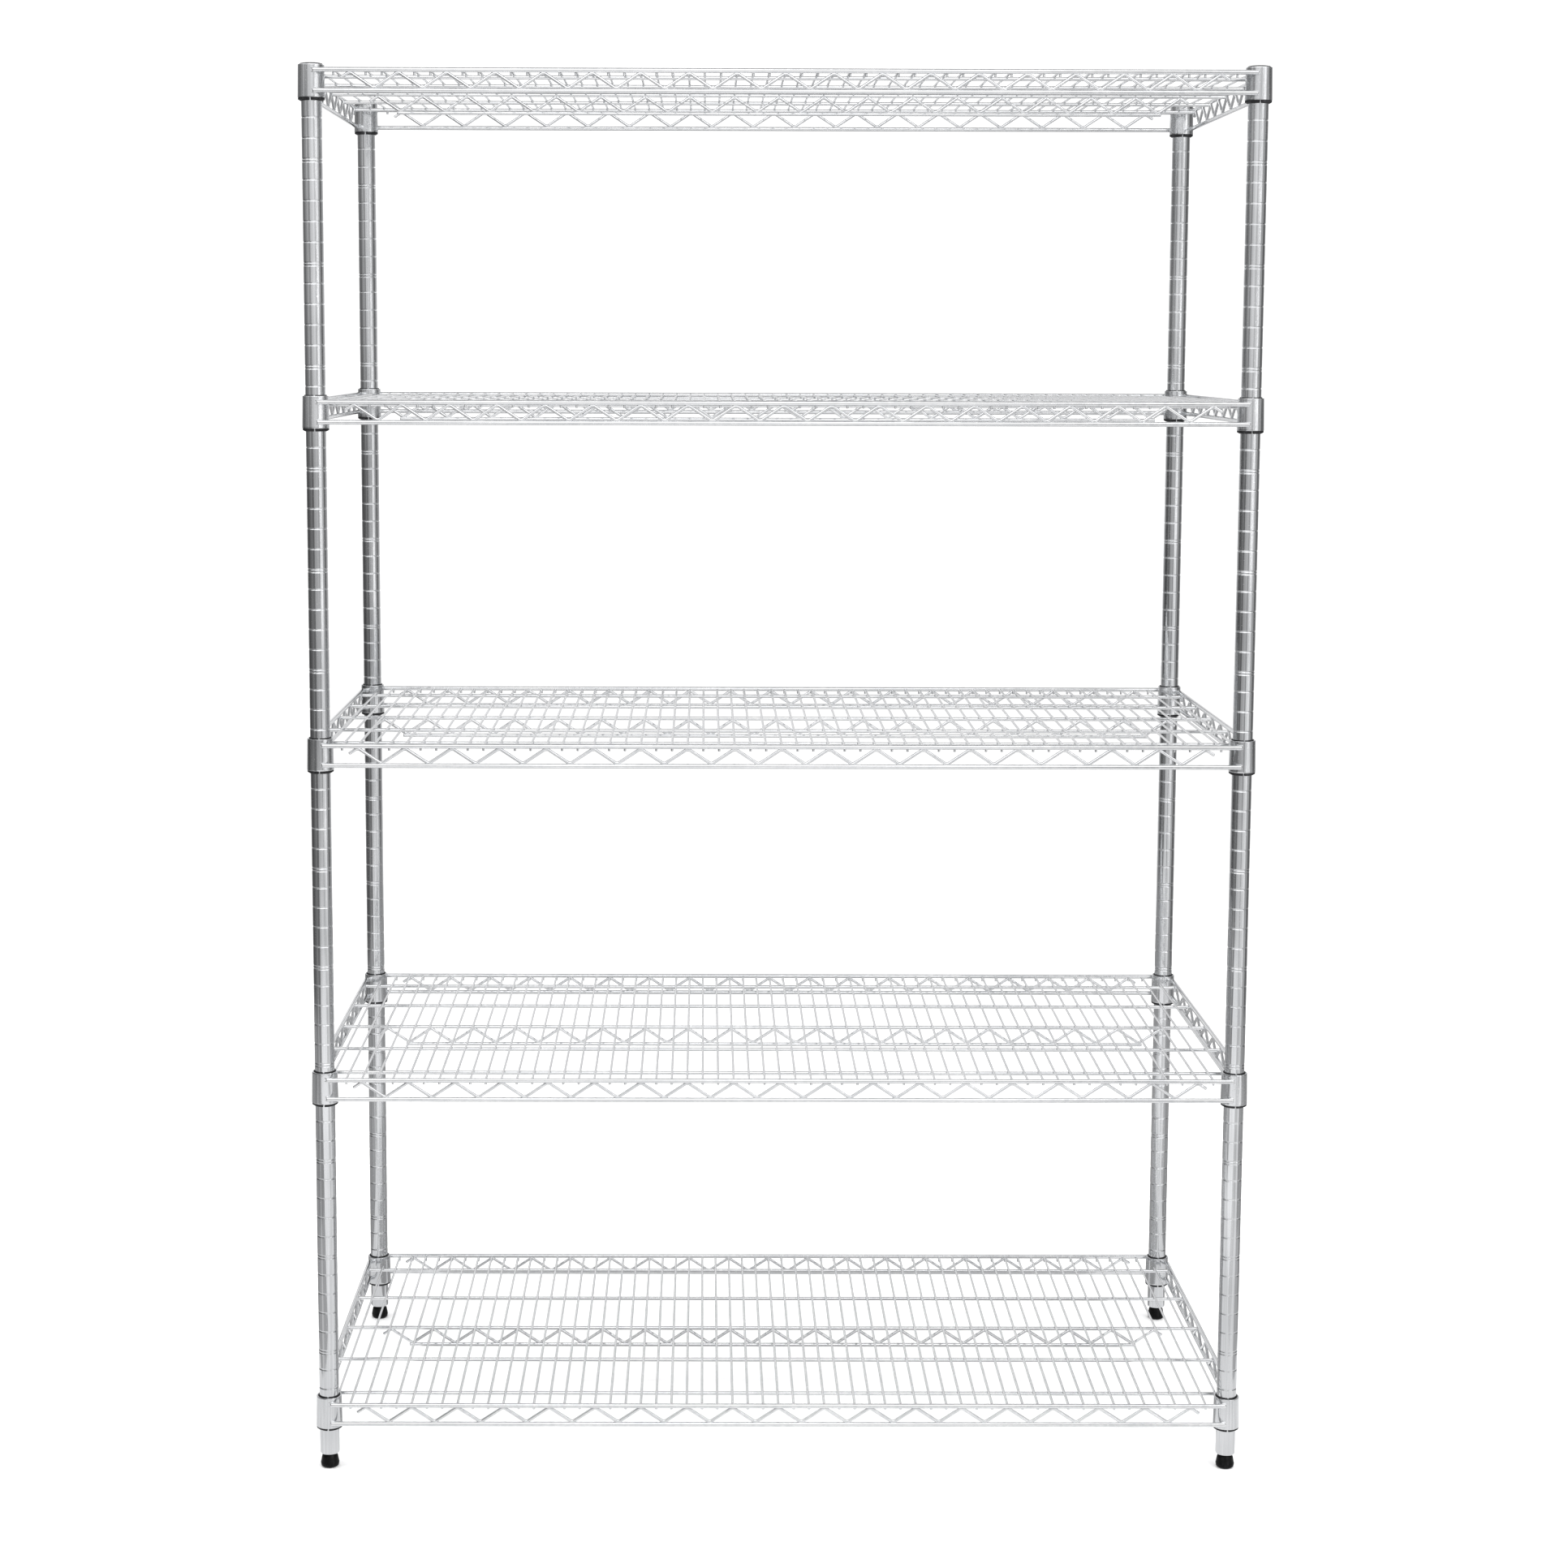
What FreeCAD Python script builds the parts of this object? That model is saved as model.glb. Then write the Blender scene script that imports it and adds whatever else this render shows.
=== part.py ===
import FreeCAD, Part
import math
import os

import Sketcher

# Five-tier wire shelving rack: four grooved tube posts on levelling feet carry five lift-on wire shelves.
# Every corner of a shelf is a tapered collar that wedges down over a split sleeve clipped round the post.
# Frame: origin on the floor under the middle of the rack, +Z up, +X along the shelves, front at -Y.
# Lengths are millimetres. A shelf is modelled about the groove its sleeves are clipped into.

SHELF_GROOVES = (0, 17, 34, 51, 67)

CORNERS = {
    "front_left": (-1, -1),
    "front_right": (1, -1),
    "rear_left": (-1, 1),
    "rear_right": (1, 1),
}

DIMENSIONS = {
    # post centres
    "post_span_x": 1170.0,
    "post_span_y": 566.0,
    # post: closed-in lower end, a ring groove every inch, a second ring just under every fifth one
    "post_radius": 12.7,
    "post_wall": 1.2,
    "post_foot_z": 18.0,
    "post_top_z": 1797.4,
    "post_end_radius": 3.0,
    "post_mouth_radius": 8.0,
    "groove_first_z": 82.6,
    "groove_pitch": 25.4,
    "groove_count": 68,
    "groove_depth": 0.6,
    "groove_mouth": 1.8,
    "groove_floor": 0.8,
    "mark_first": 3,
    "mark_every": 5,
    "mark_count": 13,
    "mark_drop": 3.6,
    # cap: a plug in the top of the post under a domed head
    "cap_head": 2.6,
    "cap_round": 2.0,
    "plug_length": 12.0,
    "plug_gap": 0.05,
    "plug_lead": 1.0,
    # insert pressed into the lower end of the post, bored for the stem
    "insert_length": 16.0,
    "insert_gap": 0.05,
    "insert_lead": 1.8,
    "stem_gap": 0.15,
    # levelling foot: stem with a flange, and the boot it stands in
    "stem_radius": 4.75,
    "stem_low_z": 5.0,
    "stem_high_z": 46.0,
    "stem_tip": 1.0,
    "flange_radius": 7.0,
    "flange_low_z": 14.8,
    "flange_high_z": 17.6,
    "flange_tip": 0.6,
    "boot_gap": 0.1,
    "boot_sole_radius": 9.6,
    "boot_heel_radius": 11.4,
    "boot_belt_radius": 12.0,
    "boot_neck_radius": 10.4,
    "boot_rim_radius": 9.0,
    "boot_heel_z": 1.8,
    "boot_belt_z": 5.6,
    "boot_neck_z": 14.0,
    "boot_top_z": 17.0,
    "flute_count": 20,
    "flute_radius": 0.8,
    "flute_centre": 12.1,
    "flute_low_z": 2.2,
    "flute_high_z": 12.6,
    # collar
    "collar_drop": 27.0,
    "collar_length": 40.5,
    "collar_top_radius": 16.25,
    "collar_low_radius": 17.0,
    "collar_bore_top": 14.2,
    "collar_bore_low": 15.2,
    # sleeve: two half shells with an inner bead in the groove and a lip under the collar
    "sleeve_bore_gap": 0.05,
    "sleeve_cone_gap": 0.15,
    "sleeve_slit": 2.4,
    "sleeve_crown": 1.2,
    "taper_bands": 5,
    "bead_height": 0.45,
    "bead_width": 1.2,
    "lip_gap": 0.1,
    "lip_radius": 16.6,
    "lip_side": 2.0,
    "lip_height": 3.6,
    "lip_toe_radius": 13.9,
    # rails round the shelf
    "rail_radius": 3.0,
    "long_rail_outset": 18.4,
    "side_rail_outset": 13.5,
    "rail_drop": 7.5,
    "rail_spacing": 25.0,
    "long_rail_end_gap": 4.0,
    "side_rail_end_gap": 10.3,
    "rod_tip": 0.8,
    # zigzag truss wires
    "truss_radius": 2.0,
    "truss_inset": 0.9,
    "truss_height": 17.7,
    "truss_pitch": 59.5,
    "truss_bend": 5.0,
    "truss_tail": 11.0,
    "truss_tail_up": 2.62,
    "long_waves": 18,
    "side_waves": 8,
    # runners under the wires, and the chord under the centre truss
    "runner_radius": 2.5,
    "runner_drop": 4.0,
    "runner_pitch": 123.5,
    "runner_count": 5,
    "runner_inset": 1.4,
    "chord_drop": 24.0,
    "chord_half": 510.0,
    # wires the goods stand on; the outermost pair stops short at the outer runners
    "mat_radius": 1.5,
    "mat_pitch": 19.85,
    "mat_count": 57,
    "mat_half": 296.9,
    "mat_bend": 3.0,
    "mat_tip_drop": 6.5,
    "short_wire_half": 250.0,
}


class Term:
    """A number and the sheet expression that yields it."""

    def __init__(self, value, text):
        self.value = value
        self.text = text

    def join(self, other, sign, value):
        return Term(value, f"({self.text} {sign} {other.text})")

    def __add__(self, other):
        other = term(other)
        return self.join(other, "+", self.value + other.value)

    def __sub__(self, other):
        other = term(other)
        return self.join(other, "-", self.value - other.value)

    def __mul__(self, other):
        other = term(other)
        return self.join(other, "*", self.value * other.value)

    def __truediv__(self, other):
        other = term(other)
        return self.join(other, "/", self.value / other.value)

    def __neg__(self):
        return Term(-self.value, f"(0 - {self.text})")


def term(number):
    return number if isinstance(number, Term) else Term(number, f"({number})")


class Sheet:
    """The driving dimensions in a spreadsheet, each reached as a Term by its alias."""

    def __init__(self, document):
        self.sheet = document.addObject("Spreadsheet::Sheet", "sizes")
        for row, (alias, value) in enumerate(DIMENSIONS.items(), start=1):
            self.sheet.set(f"A{row}", alias)
            self.sheet.set(f"B{row}", str(value))
            self.sheet.setAlias(f"B{row}", alias)
        document.recompute()

    def __getattr__(self, alias):
        return Term(float(self.sheet.get(alias)), f"sizes.{alias}")


ZERO = Term(0.0, "0")
doc = FreeCAD.newDocument("rack")
dim = Sheet(doc)


# ------------------------------------------------------------------ bodies and sketches

def new_body(name, x=ZERO, y=ZERO, z=ZERO):
    """A body of its own, placed by the sheet."""
    body = doc.addObject("PartDesign::Body", name)
    body.Label = name
    body.AllowCompound = True
    for axis, place in (("x", x), ("y", y), ("z", z)):
        body.setExpression(f"Placement.Base.{axis}", place.text)
    return body


def origin_part(body, role):
    return next(part for part in body.Origin.OriginFeatures if part.Role == role)


def new_sketch(body, name, plane):
    sketch = body.newObject("Sketcher::SketchObject", name)
    sketch.AttachmentSupport = (origin_part(body, plane), [""])
    sketch.MapMode = "FlatFace"
    return sketch


def drive(sketch, kind, places, size):
    """A dimension of the sketch, bound to the sheet."""
    index = sketch.addConstraint(Sketcher.Constraint(kind, *places, size.value))
    sketch.setExpression(f"Constraints[{index}]", size.text)


def pin_point(sketch, point, across, up):
    """Holds a point at its distances from the sketch origin."""
    drive(sketch, "DistanceX", (-1, 1) + point, across)
    drive(sketch, "DistanceY", (-1, 1) + point, up)


def outline(body, name, plane, corners):
    """A closed outline through (across, up) corners."""
    sketch = new_sketch(body, name, plane)
    points = [FreeCAD.Vector(across.value, up.value, 0) for across, up in corners]
    count = len(points)
    for i in range(count):
        sketch.addGeometry(Part.LineSegment(points[i], points[(i + 1) % count]), False)
    for i in range(count):
        sketch.addConstraint(Sketcher.Constraint("Coincident", i, 2, (i + 1) % count, 1))
    for i, (across, up) in enumerate(corners):
        pin_point(sketch, (i, 1), across, up)
    return sketch


def disc(body, name, plane, across, up, radius):
    """A circle at (across, up)."""
    sketch = new_sketch(body, name, plane)
    centre = FreeCAD.Vector(across.value, up.value, 0)
    sketch.addGeometry(Part.Circle(centre, FreeCAD.Vector(0, 0, 1), radius.value), False)
    pin_point(sketch, (0, 3), across, up)
    drive(sketch, "Radius", (0,), radius)
    return sketch


# ------------------------------------------------------------------ features

def turned(body, name, corners, kind="Revolution", axis="V_Axis"):
    """A profile in the XZ plane turned a full circle, adding or cutting."""
    profile = outline(body, f"{name}_profile", "XZ_Plane", corners)
    feature = body.newObject(f"PartDesign::{kind}", name)
    feature.Profile = profile
    feature.ReferenceAxis = (profile, [axis])
    feature.Angle = 360
    body.Tip = feature
    return feature


def repeated(body, name, originals, first, second=None):
    """Copies of features along one or two axes; each direction is (axis, spacing, count)."""
    pattern = body.newObject("PartDesign::LinearPattern", name)
    pattern.Originals = originals
    for ending, direction in (("", first), ("2", second)):
        if direction is None:
            continue
        axis, spacing, count = direction
        setattr(pattern, f"Direction{ending}", (origin_part(body, axis), [""]))
        setattr(pattern, f"Mode{ending}", "Spacing")
        pattern.setExpression(f"Offset{ending}", spacing.text)
        pattern.setExpression(f"Occurrences{ending}", count.text)
        setattr(pattern, f"Spacings{ending}", [-1.0] * (int(count.value) - 1))
    body.Tip = pattern
    return pattern


def rounded(body, name, base, radius, edges):
    """A fillet on the named edges of the feature before it."""
    fillet = body.newObject("PartDesign::Fillet", name)
    fillet.Base = (base, edges)
    fillet.setExpression("Radius", radius.text)
    body.Tip = fillet
    return fillet


def rim(feature, radius, height):
    """The name of the circular edge of this radius at this height."""
    for number, edge in enumerate(feature.Shape.Edges, start=1):
        box = edge.BoundBox
        flat = abs(box.ZMin - height.value) < 1e-3 and abs(box.ZMax - height.value) < 1e-3
        if flat and isinstance(edge.Curve, Part.Circle) and abs(edge.Curve.Radius - radius.value) < 1e-3:
            return f"Edge{number}"
    raise ValueError(f"no rim at {height.value}")


def corner_body(name, z=ZERO):
    """A body whose own origin is on the front left post, at a height."""
    return new_body(name, -dim.post_span_x / 2, -dim.post_span_y / 2, z)


def at_every_corner(body, originals):
    across = ("X_Axis", dim.post_span_x, term(2))
    deep = ("Y_Axis", dim.post_span_y, term(2))
    return repeated(body, "corners", originals, across, deep)


def rod(body, name, axis, start, end, radius, offset=(ZERO, ZERO)):
    """A round rod with chamfered ends along X or Y, standing off the axis by (sideways, up)."""
    tip = dim.rod_tip
    sideways, up = offset
    corners = [(start, ZERO), (end, ZERO), (end, radius - tip), (end - tip, radius),
               (start + tip, radius), (start, radius - tip)]
    if axis == "Y":
        corners = [(upright, along) for along, upright in corners]
    profile = outline(body, f"{name}_profile", "XY_Plane", corners)
    if axis == "Y":
        profile.setExpression("AttachmentOffset.Base.x", sideways.text)
    else:
        profile.setExpression("AttachmentOffset.Base.y", sideways.text)
    profile.setExpression("AttachmentOffset.Base.z", up.text)
    feature = body.newObject("PartDesign::Revolution", name)
    feature.Profile = profile
    feature.ReferenceAxis = (profile, ["V_Axis" if axis == "Y" else "H_Axis"])
    feature.Angle = 360
    body.Tip = feature
    return feature


# ------------------------------------------------------------------ posts and what is pressed into them

def make_post(name, side_x, side_y):
    body = new_body(name, dim.post_span_x / 2 * side_x, dim.post_span_y / 2 * side_y)
    outer = dim.post_radius
    inner = outer - dim.post_wall
    foot = dim.post_foot_z
    tube = turned(body, "tube", [
        (dim.post_mouth_radius, foot),
        (outer, foot),
        (outer, dim.post_top_z),
        (inner, dim.post_top_z),
        (inner, foot + dim.post_wall),
        (dim.post_mouth_radius, foot + dim.post_wall),
    ])
    doc.recompute()
    rounded(body, "rolled_end", tube, dim.post_end_radius, [rim(tube, outer, foot)])
    groove(body, "ring", dim.groove_first_z, dim.groove_pitch, dim.groove_count)
    marked = dim.groove_first_z + dim.groove_pitch * dim.mark_first - dim.mark_drop
    groove(body, "mark", marked, dim.groove_pitch * dim.mark_every, dim.mark_count)
    return body


def groove(body, name, height, spacing, count):
    """A row of ring grooves up the post."""
    floor = dim.post_radius - dim.groove_depth
    mouth = dim.post_radius + dim.groove_depth
    ring = turned(body, name, [
        (floor, height - dim.groove_floor / 2),
        (mouth, height - dim.groove_mouth),
        (mouth, height + dim.groove_mouth),
        (floor, height + dim.groove_floor / 2),
    ], kind="Groove")
    rings = repeated(body, f"{name}s", [ring], ("Z_Axis", spacing, count))
    rings.Refine = False


def make_caps():
    body = corner_body("post_caps", dim.post_top_z)
    head = dim.post_radius
    plug = head - dim.post_wall - dim.plug_gap
    cap = turned(body, "cap", [
        (ZERO, -dim.plug_length),
        (plug - dim.plug_lead, -dim.plug_length),
        (plug, -dim.plug_length + dim.plug_lead),
        (plug, ZERO),
        (head, ZERO),
        (head, dim.cap_head - dim.cap_round),
        (head - dim.cap_round / 4, dim.cap_head - dim.cap_round / 3),
        (head - dim.cap_round, dim.cap_head - dim.cap_round / 8),
        (head - dim.cap_round * 3, dim.cap_head),
        (ZERO, dim.cap_head),
    ])
    at_every_corner(body, [cap])
    return body


def make_inserts():
    body = corner_body("foot_inserts", dim.post_foot_z + dim.post_wall + dim.insert_gap)
    outer = dim.post_radius - dim.post_wall - dim.insert_gap
    bore = dim.stem_radius + dim.stem_gap
    insert = turned(body, "insert", [
        (bore, ZERO),
        (outer - dim.insert_lead, ZERO),
        (outer, dim.insert_lead),
        (outer, dim.insert_length),
        (bore, dim.insert_length),
    ])
    at_every_corner(body, [insert])
    return body


# ------------------------------------------------------------------ levelling feet

def make_stem(name, side_x, side_y):
    body = new_body(name, dim.post_span_x / 2 * side_x, dim.post_span_y / 2 * side_y)
    turned(body, "stem", [
        (ZERO, dim.stem_low_z),
        (dim.stem_radius - dim.stem_tip, dim.stem_low_z),
        (dim.stem_radius, dim.stem_low_z + dim.stem_tip),
        (dim.stem_radius, dim.flange_low_z),
        (dim.flange_radius, dim.flange_low_z),
        (dim.flange_radius, dim.flange_high_z - dim.flange_tip),
        (dim.flange_radius - dim.flange_tip * 2, dim.flange_high_z),
        (dim.stem_radius, dim.flange_high_z),
        (dim.stem_radius, dim.stem_high_z - dim.stem_tip),
        (dim.stem_radius - dim.stem_tip, dim.stem_high_z),
        (ZERO, dim.stem_high_z),
    ])
    return body


def make_boot(name, side_x, side_y):
    body = new_body(name, dim.post_span_x / 2 * side_x, dim.post_span_y / 2 * side_y)
    socket = dim.stem_radius + dim.boot_gap
    recess = dim.flange_radius + dim.boot_gap
    recess_z = dim.flange_low_z - dim.boot_gap
    turned(body, "boot", [
        (ZERO, ZERO),
        (dim.boot_sole_radius, ZERO),
        (dim.boot_heel_radius, dim.boot_heel_z),
        (dim.boot_belt_radius, dim.boot_belt_z),
        (dim.boot_neck_radius, dim.boot_neck_z),
        (dim.boot_rim_radius, dim.boot_top_z),
        (recess, dim.boot_top_z),
        (recess, recess_z),
        (socket, recess_z),
        (socket, dim.stem_low_z - dim.boot_gap),
        (ZERO, dim.stem_low_z - dim.boot_gap),
    ])
    flute = turned_flute(body)
    flutes = body.newObject("PartDesign::PolarPattern", "flutes")
    flutes.Originals = [flute]
    flutes.Axis = (origin_part(body, "Z_Axis"), [""])
    flutes.Angle = 360
    flutes.setExpression("Occurrences", dim.flute_count.text)
    body.Tip = flutes
    return body


def turned_flute(body):
    """An upright round-bottomed cut in the side of the boot."""
    mouth = disc(body, "flute_section", "XY_Plane", dim.flute_centre, ZERO, dim.flute_radius)
    mouth.setExpression("AttachmentOffset.Base.z", dim.flute_low_z.text)
    flute = body.newObject("PartDesign::Pocket", "flute")
    flute.Profile = mouth
    flute.Reversed = True
    flute.setExpression("Length", (dim.flute_high_z - dim.flute_low_z).text)
    body.Tip = flute
    return flute


# ------------------------------------------------------------------ shelf corners

def make_sleeves(name, level):
    body = corner_body(name, level)
    low = -dim.collar_drop
    top = low + dim.collar_length
    bore = dim.post_radius + dim.sleeve_bore_gap
    lip_top = low - dim.lip_gap
    wide = dim.collar_bore_low - dim.sleeve_cone_gap
    narrow = dim.collar_bore_top - dim.sleeve_cone_gap
    bands = int(dim.taper_bands.value)
    taper = [
        (wide + (narrow - wide) * step / dim.taper_bands, lip_top + (top - lip_top) * step / dim.taper_bands)
        for step in range(bands + 1)
    ]
    shell = turned(body, "shell", [
        (bore, lip_top - dim.lip_height),
        (dim.lip_toe_radius, lip_top - dim.lip_height),
        (dim.lip_radius, lip_top - dim.lip_side),
        (dim.lip_radius, lip_top),
        *taper,
        (narrow, top + dim.sleeve_crown),
        (bore, top + dim.sleeve_crown),
        (bore, dim.bead_width / 2),
        (bore - dim.bead_height, dim.bead_width / 4),
        (bore - dim.bead_height, -dim.bead_width / 4),
        (bore, -dim.bead_width / 2),
    ])
    half = dim.sleeve_slit / 2
    reach = dim.lip_radius + 1
    slit_plan = outline(body, "slit_plan", "XY_Plane",
                        [(-half, -reach), (half, -reach), (half, reach), (-half, reach)])
    slit = body.newObject("PartDesign::Pocket", "slit")
    slit.Profile = slit_plan
    slit.Type = "ThroughAll"
    slit.Midplane = True
    body.Tip = slit
    corners = at_every_corner(body, [shell, slit])
    for feature in (shell, slit, corners):
        feature.Refine = False
    return body


def make_collars(name, level):
    body = corner_body(name, level)
    low = -dim.collar_drop
    top = low + dim.collar_length
    collar = turned(body, "collar", [
        (dim.collar_bore_low, low),
        (dim.collar_low_radius, low),
        (dim.collar_top_radius, top),
        (dim.collar_bore_top, top),
    ])
    at_every_corner(body, [collar])
    return body


# ------------------------------------------------------------------ shelf wires

def rail_level():
    return dim.collar_length - dim.collar_drop - dim.rail_drop


def runner_level():
    return rail_level() - dim.runner_drop


def side_rail_x():
    """How far the side rails are from the middle of the shelf."""
    return dim.post_span_x / 2 + dim.side_rail_outset


def long_rail_y():
    """How far the front and rear rails are from the middle of the shelf."""
    return dim.post_span_y / 2 + dim.long_rail_outset


def make_rails(name, level):
    body = new_body(name, z=level + rail_level())
    reach_x = dim.post_span_x / 2 - dim.long_rail_end_gap
    reach_y = dim.post_span_y / 2 - dim.side_rail_end_gap
    upper_and_lower = ("Z_Axis", dim.rail_spacing, term(2))
    long_rail = rod(body, "long_rail", "X", -reach_x, reach_x, dim.rail_radius,
                    (-long_rail_y(), -dim.rail_spacing))
    repeated(body, "long_rails", [long_rail], ("Y_Axis", long_rail_y() * 2, term(2)), upper_and_lower)
    side_rail = rod(body, "side_rail", "Y", -reach_y, reach_y, dim.rail_radius,
                    (-side_rail_x(), -dim.rail_spacing))
    repeated(body, "side_rails", [side_rail], ("X_Axis", side_rail_x() * 2, term(2)), upper_and_lower)
    return body


def arc(sketch, centre, radius, start, end):
    circle = Part.Circle(centre, FreeCAD.Vector(0, 0, 1), radius)
    return sketch.addGeometry(Part.ArcOfCircle(circle, start, end), False)


def line(sketch, start, end):
    return sketch.addGeometry(Part.LineSegment(start, end), False)


def on_circle(centre, radius, angle):
    return centre + FreeCAD.Vector(math.cos(angle), math.sin(angle), 0) * radius


def bend_angle():
    """The slope of the straight legs of the zigzag."""
    rise = dim.truss_height.value - 2 * dim.truss_bend.value
    run = dim.truss_pitch.value / 2
    return math.atan2(rise, run) + math.asin(2 * dim.truss_bend.value / math.hypot(rise, run))


def hold_arc(sketch, curve, across, up):
    """Holds the centre and the radius of a bend of the zigzag."""
    pin_point(sketch, (curve, 3), across, up)
    drive(sketch, "Radius", (curve,), dim.truss_bend)


def join_smoothly(sketch, *ends):
    """Joins pairs of curve ends end to end and tangent."""
    for first, second in zip(ends[::2], ends[1::2]):
        sketch.addConstraint(Sketcher.Constraint("Tangent", *first, *second))


def wave_path(body, plane, start):
    """One wave of the zigzag's centre line, from the crest at start to the next crest."""
    sketch = new_sketch(body, "wave_path", plane)
    slope = bend_angle()
    radius = dim.truss_bend.value
    up = math.pi / 2
    high = dim.truss_height / 2 - dim.truss_bend
    places = [
        (start, high),
        (start + dim.truss_pitch / 2, -high),
        (start + dim.truss_pitch, high),
    ]
    first, valley, last = [FreeCAD.Vector(across.value, level.value, 0) for across, level in places]
    curves = [
        arc(sketch, first, radius, up - slope, up),
        line(sketch, on_circle(first, radius, up - slope), on_circle(valley, radius, -up - slope)),
        arc(sketch, valley, radius, -up - slope, -up + slope),
        line(sketch, on_circle(valley, radius, -up + slope), on_circle(last, radius, up + slope)),
        arc(sketch, last, radius, up, up + slope),
    ]
    join_smoothly(sketch, (0, 1), (1, 1), (1, 2), (2, 1), (2, 2), (3, 1), (3, 2), (4, 2))
    for curve, (across, level) in zip(curves[::2], places):
        hold_arc(sketch, curve, across, level)
    sketch.addConstraint(Sketcher.Constraint("Vertical", 0, 2, 0, 3))
    sketch.addConstraint(Sketcher.Constraint("Vertical", 4, 1, 4, 3))
    return sketch


def tail_path(body, name, plane, crest, way):
    """The loose end of the zigzag's centre line, from a crest part of the way down the next leg."""
    sketch = new_sketch(body, name, plane)
    slope = bend_angle()
    radius = dim.truss_bend.value
    up = math.pi / 2
    high = dim.truss_height / 2 - dim.truss_bend
    end = crest + dim.truss_tail * way
    centre = FreeCAD.Vector(crest.value, high.value, 0)
    turn = up - slope * way
    arc(sketch, centre, radius, min(up, turn), max(up, turn))
    line(sketch, on_circle(centre, radius, turn), FreeCAD.Vector(end.value, dim.truss_tail_up.value, 0))
    low, top = (1, 2) if way > 0 else (2, 1)
    join_smoothly(sketch, (0, low), (1, 1))
    hold_arc(sketch, 0, crest, high)
    sketch.addConstraint(Sketcher.Constraint("Vertical", 0, top, 0, 3))
    pin_point(sketch, (1, 2), end, dim.truss_tail_up)
    return sketch


def pipe(body, name, path, section):
    feature = body.newObject("PartDesign::AdditivePipe", name)
    feature.Profile = section
    feature.Spine = path
    body.Tip = feature
    return feature


def zigzag(body, axis, waves, standoff=ZERO, pair=None):
    """A zigzag wire along an axis, centred on the body; standoff is its distance from that axis."""
    path_plane, section_plane, facing = {
        "X": ("XZ_Plane", "YZ_Plane", 1),
        "Y": ("YZ_Plane", "XZ_Plane", -1),
    }[axis]
    half = dim.truss_pitch * waves / 2

    def bent_wire(name, crest, path):
        path.setExpression("AttachmentOffset.Base.z", standoff.text)
        section = disc(body, f"{name}_section", section_plane, standoff, dim.truss_height / 2, dim.truss_radius)
        section.setExpression("AttachmentOffset.Base.z", (crest * facing).text)
        return pipe(body, name, path, section)

    wave = bent_wire("wave", -half, wave_path(body, path_plane, -half))
    repeated(body, "waves", [wave], (f"{axis}_Axis", dim.truss_pitch, waves), pair)
    for name, way in (("tail_low", -1), ("tail_high", 1)):
        tail = bent_wire(name, half * way, tail_path(body, f"{name}_path", path_plane, half * way, way))
        if pair:
            repeated(body, f"{name}_pair", [tail], pair)


def truss_level():
    return rail_level() - dim.rail_spacing / 2


def make_face_truss(name, level, side):
    reach = long_rail_y() - dim.truss_inset
    body = new_body(name, y=reach * side, z=level + truss_level())
    zigzag(body, "X", dim.long_waves)
    return body


def make_side_trusses(name, level):
    body = new_body(name, z=level + truss_level())
    reach = side_rail_x() - dim.truss_inset
    zigzag(body, "Y", dim.side_waves, -reach, ("X_Axis", reach * 2, term(2)))
    return body


def make_centre_truss(name, level):
    body = new_body(name, z=level + runner_level() - dim.chord_drop / 2)
    zigzag(body, "X", dim.long_waves)
    return body


def make_runners(name, level):
    """The runners the wires are laid across, and the lower chord of the centre truss."""
    body = new_body(name, z=level + runner_level())
    outermost = dim.runner_pitch * (dim.runner_count - 1) / 2
    half = side_rail_x() - dim.runner_inset
    runner = rod(body, "runner", "X", -half, half, dim.runner_radius, (-outermost, ZERO))
    repeated(body, "runners", [runner], ("Y_Axis", dim.runner_pitch, dim.runner_count))
    rod(body, "chord", "X", -dim.chord_half, dim.chord_half, dim.runner_radius,
        (ZERO, -dim.chord_drop))
    return body


def make_mat_wires(name, level):
    """Parallel wires across the shelf, both ends of the long ones turned down inside the long rails."""
    first = -dim.mat_pitch * (dim.mat_count - 1) / 2
    body = new_body(name, first, z=level + rail_level())
    path = new_sketch(body, "wire_path", "YZ_Plane")
    half = dim.mat_half
    bend = dim.mat_bend
    inner = half - bend
    left = FreeCAD.Vector(-inner.value, -bend.value, 0)
    right = FreeCAD.Vector(inner.value, -bend.value, 0)
    tip = -dim.mat_tip_drop.value
    line(path, FreeCAD.Vector(-half.value, tip, 0), FreeCAD.Vector(-half.value, -bend.value, 0))
    arc(path, left, bend.value, math.pi / 2, math.pi)
    line(path, FreeCAD.Vector(-inner.value, 0, 0), FreeCAD.Vector(inner.value, 0, 0))
    arc(path, right, bend.value, 0, math.pi / 2)
    line(path, FreeCAD.Vector(half.value, -bend.value, 0), FreeCAD.Vector(half.value, tip, 0))
    join_smoothly(path, (0, 2), (1, 2), (1, 1), (2, 1), (2, 2), (3, 2), (3, 1), (4, 1))
    pin_point(path, (0, 1), -half, -dim.mat_tip_drop)
    pin_point(path, (4, 2), half, -dim.mat_tip_drop)
    pin_point(path, (1, 3), -inner, -bend)
    pin_point(path, (3, 3), inner, -bend)
    drive(path, "Radius", (1,), bend)
    drive(path, "Radius", (3,), bend)
    section = disc(body, "wire_section", "XY_Plane", ZERO, -half, dim.mat_radius)
    section.setExpression("AttachmentOffset.Base.z", (-dim.mat_tip_drop).text)
    wire = pipe(body, "wire", path, section)
    repeated(body, "wires", [wire], ("X_Axis", dim.mat_pitch, dim.mat_count))
    short_wire = rod(body, "short_wire", "Y", -dim.short_wire_half, dim.short_wire_half, dim.mat_radius,
                     (-dim.mat_pitch, ZERO))
    repeated(body, "short_wires", [short_wire], ("X_Axis", dim.mat_pitch * (dim.mat_count + 1), term(2)))
    return body


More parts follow.
